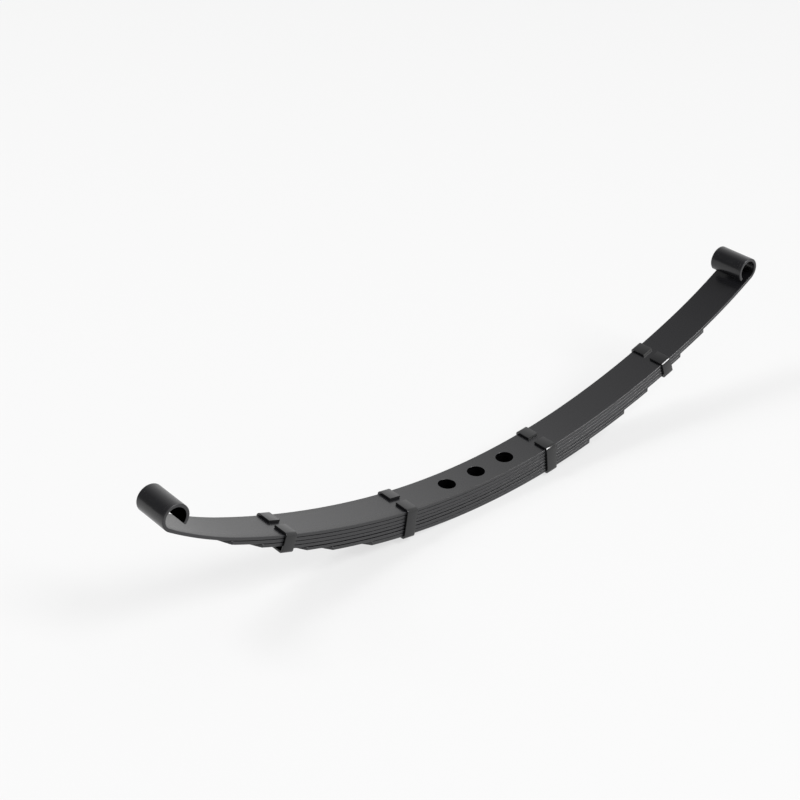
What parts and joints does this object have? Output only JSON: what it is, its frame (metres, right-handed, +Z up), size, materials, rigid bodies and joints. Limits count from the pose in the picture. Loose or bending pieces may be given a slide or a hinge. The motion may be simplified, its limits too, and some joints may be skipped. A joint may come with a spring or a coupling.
{
  "type": "leaf spring",
  "caption": "Semi-elliptic leaf spring of flat black steel leaves with an up-rolled eye at each end, wrap clips and a row of seat holes.",
  "frame": {"origin": "on the axis of the centre hole, at the top face of the main leaf", "axes": "+X along the spring to the rear eye, +Y across the leaves, +Z up along the centre hole"},
  "size_m": [0.1142, 0.0068, 0.0233],
  "materials": {
    "leaf_steel": "satin black coating on flat spring steel strip",
    "clip_steel": "semi-gloss black coating on bent sheet steel"
  },
  "bodies": {
    "seat": {"main_leaf_seat": "leaf_steel", "leaf_2_seat": "leaf_steel", "leaf_3_seat": "leaf_steel", "leaf_4_seat": "leaf_steel", "leaf_5_seat": "leaf_steel", "leaf_6_seat": "leaf_steel", "leaf_7": "leaf_steel", "clip_front_inner": "clip_steel", "clip_rear_inner": "clip_steel"},
    "front_limb": {"main_leaf_front": "leaf_steel", "leaf_2_front": "leaf_steel", "leaf_3_front": "leaf_steel", "leaf_4_front": "leaf_steel", "leaf_5_front": "leaf_steel", "leaf_6_front": "leaf_steel", "clip_front_outer": "clip_steel"},
    "rear_limb": {"main_leaf_rear": "leaf_steel", "leaf_2_rear": "leaf_steel", "leaf_3_rear": "leaf_steel", "leaf_4_rear": "leaf_steel", "leaf_5_rear": "leaf_steel", "leaf_6_rear": "leaf_steel", "clip_rear_outer": "clip_steel"}
  },
  "joints": [
    {"name": "front_flex", "type": "hinge", "parent": "seat", "child": "front_limb", "pos_m": [-0.02635, 0, 0.00159], "axis": [0, -1, 0], "range_deg": [-5, 11], "stiffness_Nm_per_rad": 2},
    {"name": "rear_flex", "type": "hinge", "parent": "seat", "child": "rear_limb", "pos_m": [0.02477, 0, 0.00121], "axis": [0, 1, 0], "range_deg": [-5, 11], "stiffness_Nm_per_rad": 2}
  ]
}
